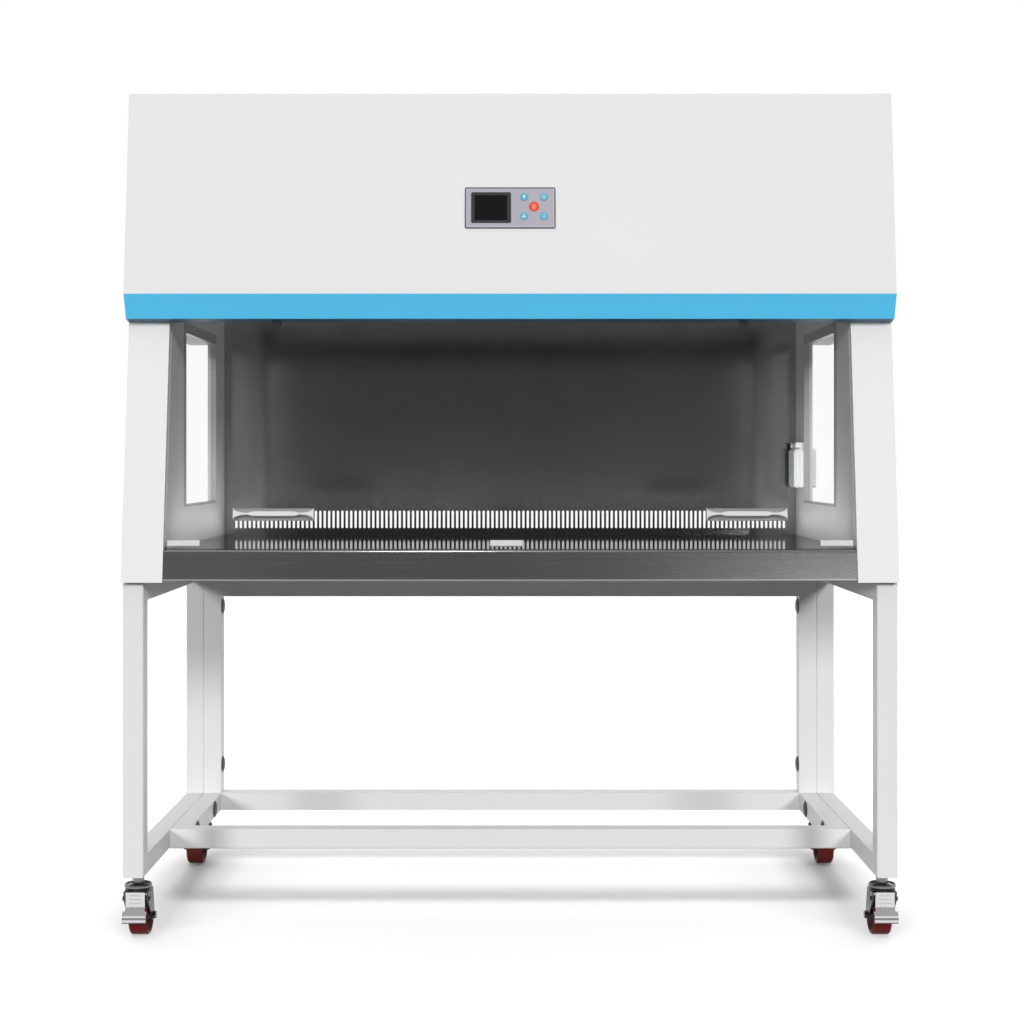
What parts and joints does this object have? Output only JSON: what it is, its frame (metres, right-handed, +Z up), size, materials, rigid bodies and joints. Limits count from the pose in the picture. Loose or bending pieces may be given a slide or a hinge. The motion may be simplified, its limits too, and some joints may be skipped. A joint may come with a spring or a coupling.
{
  "type": "laminar flow hood",
  "caption": "Vertical laminar flow clean bench with a sloped head, sliding glass sash, steel work area, side windows, a slotted rear wall and a tube stand on braked casters.",
  "frame": {"origin": "on the floor, under the middle of the stand", "axes": "+X to the right as the user faces it, +Y to the back, +Z up"},
  "size_m": [1.506, 0.738, 1.65],
  "materials": {
    "stand_paint": "satin powder coat",
    "cabinet_paint": "satin powder coat, off-white",
    "nose_paint": "satin sky-blue paint",
    "stainless": "brushed stainless steel",
    "guide_aluminium": "satin anodised",
    "trim_steel": "brushed",
    "galvanised": "zinc-coated sheet",
    "impeller_plastic": "moulded",
    "filter_media": "pleated fibre",
    "clear_glass": "clear float glass",
    "lamp_glass": "frosted tube",
    "white_plastic": "moulded",
    "handle_grey": "moulded, satin",
    "black_rubber": "moulded",
    "black_plastic": "moulded",
    "plate_silver": "lilac-silver overlay",
    "display_dark": "dark grey bezel and black screen",
    "board_green": "circuit board",
    "button_blue": "moulded",
    "button_orange": "moulded",
    "caster_chrome": "bright plated steel",
    "wheel_core": "moulded",
    "tyre_red": "red-brown elastomer"
  },
  "bodies": {
    "cabinet": {"side_frame_left": "stand_paint", "side_frame_right": "stand_paint", "inner_frame": "stand_paint", "pillar_left": "cabinet_paint", "pillar_right": "cabinet_paint", "head_shell": "cabinet_paint", "head_front_panel": "cabinet_paint", "base_box": "cabinet_paint", "nose_trim": "nose_paint", "worktop": "stainless", "side_panel_left": "stainless", "side_panel_right": "stainless", "rear_wall": "stainless", "ceiling_diffuser": "stainless", "sash_guide_left": "guide_aluminium", "sash_guide_right": "guide_aluminium", "window_trims": "trim_steel", "plenum_box": "galvanised", "blower_housings": "galvanised", "blower_motors": "galvanised", "hepa_filter": "filter_media", "prefilter_pads": "filter_media", "window_panes": "clear_glass", "lamp_tubes": "lamp_glass", "lamp_holders": "white_plastic", "socket_plate": "white_plastic", "sash_stops": "black_rubber", "bolt_caps": "black_plastic", "power_inlet": "black_plastic", "control_plate": "plate_silver", "display": "display_dark", "control_board": "board_green", "caster_stems": "caster_chrome"},
    "sash": {"sash_glass": "clear_glass", "sash_handles": "handle_grey", "sash_pads": "white_plastic"},
    "light_button": {"light_button": "button_blue"},
    "uv_button": {"uv_button": "button_blue"},
    "power_button": {"power_button": "button_orange"},
    "fan_button": {"fan_button": "button_blue"},
    "socket_button": {"socket_button": "button_blue"},
    "flap": {"socket_flap": "white_plastic"},
    "impeller_left": {"impeller_left": "impeller_plastic"},
    "impeller_right": {"impeller_right": "impeller_plastic"},
    "fork_front_left": {"caster_fork_front_left": "caster_chrome"},
    "wheel_front_left": {"caster_wheel_front_left": "wheel_core", "caster_tyre_front_left": "tyre_red"},
    "pedal_front_left": {"caster_pedal_front_left": "caster_chrome"},
    "fork_front_right": {"caster_fork_front_right": "caster_chrome"},
    "wheel_front_right": {"caster_wheel_front_right": "wheel_core", "caster_tyre_front_right": "tyre_red"},
    "pedal_front_right": {"caster_pedal_front_right": "caster_chrome"},
    "fork_rear_left": {"caster_fork_rear_left": "caster_chrome"},
    "wheel_rear_left": {"caster_wheel_rear_left": "wheel_core", "caster_tyre_rear_left": "tyre_red"},
    "pedal_rear_left": {"caster_pedal_rear_left": "caster_chrome"},
    "fork_rear_right": {"caster_fork_rear_right": "caster_chrome"},
    "wheel_rear_right": {"caster_wheel_rear_right": "wheel_core", "caster_tyre_rear_right": "tyre_red"},
    "pedal_rear_right": {"caster_pedal_rear_right": "caster_chrome"}
  },
  "joints": [
    {"name": "sash_slide", "type": "slide", "parent": "cabinet", "child": "sash", "axis": [0, 0.1416, 0.9899], "range_m": [0, 0.35]},
    {"name": "light_button_press", "type": "slide", "parent": "cabinet", "child": "light_button", "axis": [0, 0.9927, -0.121], "range_m": [0, 0.001], "stiffness_N_per_m": 800, "springref_m": -0.0005},
    {"name": "uv_button_press", "type": "slide", "parent": "cabinet", "child": "uv_button", "axis": [0, 0.9927, -0.121], "range_m": [0, 0.001], "stiffness_N_per_m": 800, "springref_m": -0.0005},
    {"name": "power_button_press", "type": "slide", "parent": "cabinet", "child": "power_button", "axis": [0, 0.9927, -0.121], "range_m": [0, 0.001], "stiffness_N_per_m": 800, "springref_m": -0.0005},
    {"name": "fan_button_press", "type": "slide", "parent": "cabinet", "child": "fan_button", "axis": [0, 0.9927, -0.121], "range_m": [0, 0.001], "stiffness_N_per_m": 800, "springref_m": -0.0005},
    {"name": "socket_button_press", "type": "slide", "parent": "cabinet", "child": "socket_button", "axis": [0, 0.9927, -0.121], "range_m": [0, 0.001], "stiffness_N_per_m": 800, "springref_m": -0.0005},
    {"name": "flap_hinge", "type": "hinge", "parent": "cabinet", "child": "flap", "pos_m": [0.6572, 0.288, 0.966], "axis": [0, 1, 0], "range_deg": [0, 100]},
    {"name": "impeller_spin_left", "type": "hinge", "parent": "cabinet", "child": "impeller_left", "pos_m": [-0.33, 0.08, 1.535], "axis": [1, 0, 0], "continuous": true},
    {"name": "impeller_spin_right", "type": "hinge", "parent": "cabinet", "child": "impeller_right", "pos_m": [0.33, 0.08, 1.535], "axis": [1, 0, 0], "continuous": true},
    {"name": "swivel_front_left", "type": "hinge", "parent": "cabinet", "child": "fork_front_left", "pos_m": [-0.724, -0.325, 0.095], "axis": [0, 0, 1], "continuous": true},
    {"name": "roll_front_left", "type": "hinge", "parent": "fork_front_left", "child": "wheel_front_left", "pos_m": [-0.724, -0.298, 0.0375], "axis": [1, 0, 0], "continuous": true},
    {"name": "brake_front_left", "type": "hinge", "parent": "fork_front_left", "child": "pedal_front_left", "pos_m": [-0.724, -0.339, 0.079], "axis": [1, 0, 0], "range_deg": [0, 10]},
    {"name": "swivel_front_right", "type": "hinge", "parent": "cabinet", "child": "fork_front_right", "pos_m": [0.724, -0.325, 0.095], "axis": [0, 0, 1], "continuous": true},
    {"name": "roll_front_right", "type": "hinge", "parent": "fork_front_right", "child": "wheel_front_right", "pos_m": [0.724, -0.298, 0.0375], "axis": [1, 0, 0], "continuous": true},
    {"name": "brake_front_right", "type": "hinge", "parent": "fork_front_right", "child": "pedal_front_right", "pos_m": [0.724, -0.339, 0.079], "axis": [1, 0, 0], "range_deg": [0, 10]},
    {"name": "swivel_rear_left", "type": "hinge", "parent": "cabinet", "child": "fork_rear_left", "pos_m": [-0.724, 0.325, 0.095], "axis": [0, 0, 1], "continuous": true},
    {"name": "roll_rear_left", "type": "hinge", "parent": "fork_rear_left", "child": "wheel_rear_left", "pos_m": [-0.724, 0.298, 0.0375], "axis": [1, 0, 0], "continuous": true},
    {"name": "brake_rear_left", "type": "hinge", "parent": "fork_rear_left", "child": "pedal_rear_left", "pos_m": [-0.724, 0.339, 0.079], "axis": [-1, 0, 0], "range_deg": [0, 10]},
    {"name": "swivel_rear_right", "type": "hinge", "parent": "cabinet", "child": "fork_rear_right", "pos_m": [0.724, 0.325, 0.095], "axis": [0, 0, 1], "continuous": true},
    {"name": "roll_rear_right", "type": "hinge", "parent": "fork_rear_right", "child": "wheel_rear_right", "pos_m": [0.724, 0.298, 0.0375], "axis": [1, 0, 0], "continuous": true},
    {"name": "brake_rear_right", "type": "hinge", "parent": "fork_rear_right", "child": "pedal_rear_right", "pos_m": [0.724, 0.339, 0.079], "axis": [-1, 0, 0], "range_deg": [0, 10]}
  ]
}
